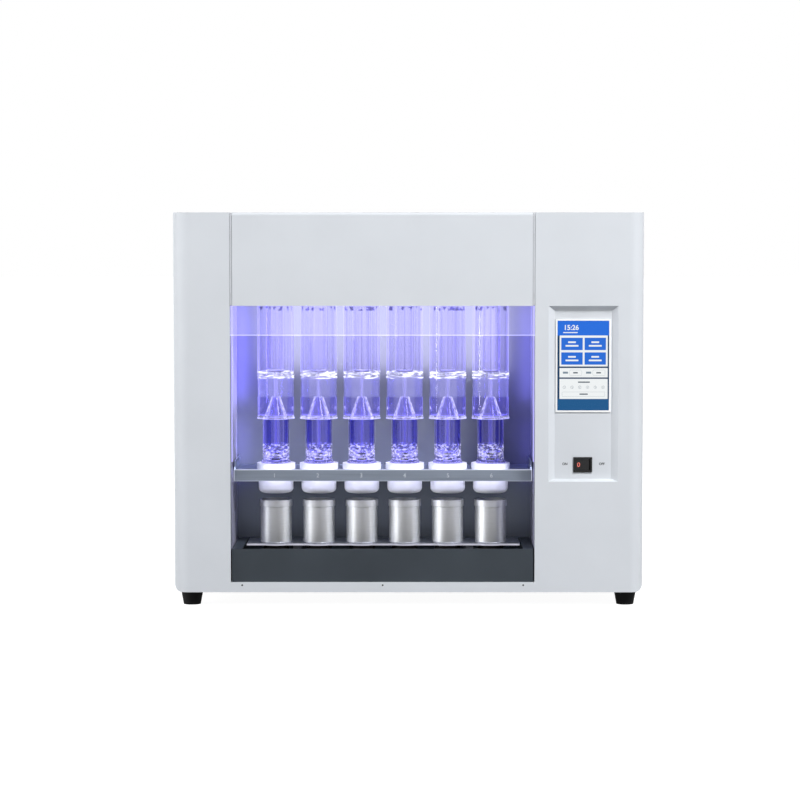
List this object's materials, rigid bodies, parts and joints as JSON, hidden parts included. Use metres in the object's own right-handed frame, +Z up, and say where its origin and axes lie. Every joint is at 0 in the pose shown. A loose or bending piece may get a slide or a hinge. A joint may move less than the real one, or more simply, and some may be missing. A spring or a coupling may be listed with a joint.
{
  "type": "fat analyzer",
  "caption": "Bench fat analyzer: white housing with an open lit chamber, glass extraction stations over metal cups on a heated lift, hinged lid, sliding clear sash and touch panel.",
  "frame": {"origin": "centre of the footprint, on the floor under the feet", "axes": "+X to the right seen from the front, +Y to the back, +Z up"},
  "size_m": [0.79, 0.44, 0.662],
  "materials": {
    "white_paint": "satin powder coat",
    "chamber_sheet": "satin grey",
    "shelf_sheet": "satin grey",
    "tray_paint": "satin slate grey",
    "white_ptfe": "turned fluoropolymer",
    "clear_glass": "clear borosilicate",
    "clear_acrylic": "clear polished sheet",
    "cup_metal": "satin drawn",
    "plate_metal": "machined",
    "steel": "bright",
    "brass": "turned",
    "foot_rubber": "matte black",
    "hose_rubber": "translucent silicone",
    "black_plastic": "moulded",
    "bezel_plastic": "gloss white",
    "screen": "lit touch panel",
    "circuit_board": "solder resist",
    "led_diffuser": "lit diffuser",
    "heater_pad": "silicone heating mat",
    "motor_paint": "black"
  },
  "bodies": {
    "housing": {"base_pan": "white_paint", "left_cover": "white_paint", "right_cover": "white_paint", "top_cover": "white_paint", "rear_panel": "white_paint", "feet": "foot_rubber", "foot_screws": "steel", "sill_screws": "steel", "rear_screws": "steel", "chamber_back_wall": "chamber_sheet", "chamber_side_walls": "chamber_sheet", "sash_guides": "chamber_sheet", "shelf": "shelf_sheet", "seat_flanges": "white_ptfe", "seal_bells": "white_ptfe", "condenser_caps": "white_ptfe", "extraction_tubes": "clear_glass", "solvent_bowls": "clear_glass", "condenser_jackets": "clear_glass", "condenser_cores": "clear_glass", "drip_tubes": "clear_glass", "condenser_rail": "chamber_sheet", "water_manifolds": "steel", "coolant_hoses": "hose_rubber", "drain_tubes": "white_ptfe", "recovery_valves": "black_plastic", "heater_tray": "tray_paint", "tray_pillars": "steel", "lift_base_block": "plate_metal", "lift_bracket": "plate_metal", "guide_rods": "steel", "lift_motor": "motor_paint", "led_strips": "led_diffuser", "display_bezel": "bezel_plastic", "display_module": "screen", "switch_housing": "black_plastic", "control_board": "circuit_board", "board_standoffs": "brass", "power_supply": "steel", "power_inlet": "black_plastic", "water_nipples": "brass", "hinge_fixed_leaves": "steel", "hinge_pins": "steel"},
    "lid_body": {"lid": "white_paint", "hinge_lid_leaves": "steel"},
    "sash_body": {"sash_panel": "clear_acrylic"},
    "lift_body": {"heating_plate": "plate_metal", "heater_pads": "heater_pad", "lift_arms": "plate_metal", "lift_carriage": "plate_metal", "guide_bushes": "brass", "lift_nut": "brass"},
    "screw_body": {"lift_screw": "steel"},
    "rocker_body": {"power_rocker": "black_plastic"},
    "cup_body_1": {"cup_1": "cup_metal"},
    "cup_body_2": {"cup_2": "cup_metal"},
    "cup_body_3": {"cup_3": "cup_metal"},
    "cup_body_4": {"cup_4": "cup_metal"},
    "cup_body_5": {"cup_5": "cup_metal"},
    "cup_body_6": {"cup_6": "cup_metal"}
  },
  "joints": [
    {"name": "lid_hinge", "type": "hinge", "parent": "housing", "child": "lid_body", "pos_m": [-0.0435, 0.1634, 0.659], "axis": [-1, 0, 0], "range_deg": [0, 75]},
    {"name": "sash_slide", "type": "slide", "parent": "housing", "child": "sash_body", "axis": [0, 0, -1], "range_m": [0, 0.12]},
    {"name": "cup_lift", "type": "slide", "parent": "housing", "child": "lift_body", "axis": [0, 0, 1], "range_m": [0, 0.0117]},
    {"name": "screw_spin", "type": "hinge", "parent": "housing", "child": "screw_body", "pos_m": [-0.0435, 0.021, 0.104], "axis": [0, 0, -1], "range_deg": [0, 1060]},
    {"name": "power_switch", "type": "hinge", "parent": "housing", "child": "rocker_body", "pos_m": [0.293, -0.206, 0.239], "axis": [0, 0, 1], "range_deg": [0, 16]},
    {"name": "cup_1_slide", "type": "slide", "parent": "lift_body", "child": "cup_body_1", "axis": [0, -1, 0], "range_m": [0, 0.2]},
    {"name": "cup_2_slide", "type": "slide", "parent": "lift_body", "child": "cup_body_2", "axis": [0, -1, 0], "range_m": [0, 0.2]},
    {"name": "cup_3_slide", "type": "slide", "parent": "lift_body", "child": "cup_body_3", "axis": [0, -1, 0], "range_m": [0, 0.2]},
    {"name": "cup_4_slide", "type": "slide", "parent": "lift_body", "child": "cup_body_4", "axis": [0, -1, 0], "range_m": [0, 0.2]},
    {"name": "cup_5_slide", "type": "slide", "parent": "lift_body", "child": "cup_body_5", "axis": [0, -1, 0], "range_m": [0, 0.2]},
    {"name": "cup_6_slide", "type": "slide", "parent": "lift_body", "child": "cup_body_6", "axis": [0, -1, 0], "range_m": [0, 0.2]}
  ],
  "couplings": [
    {"joint": "screw_spin", "follows": "cup_lift", "rad_per_m": 1570.8}
  ]
}
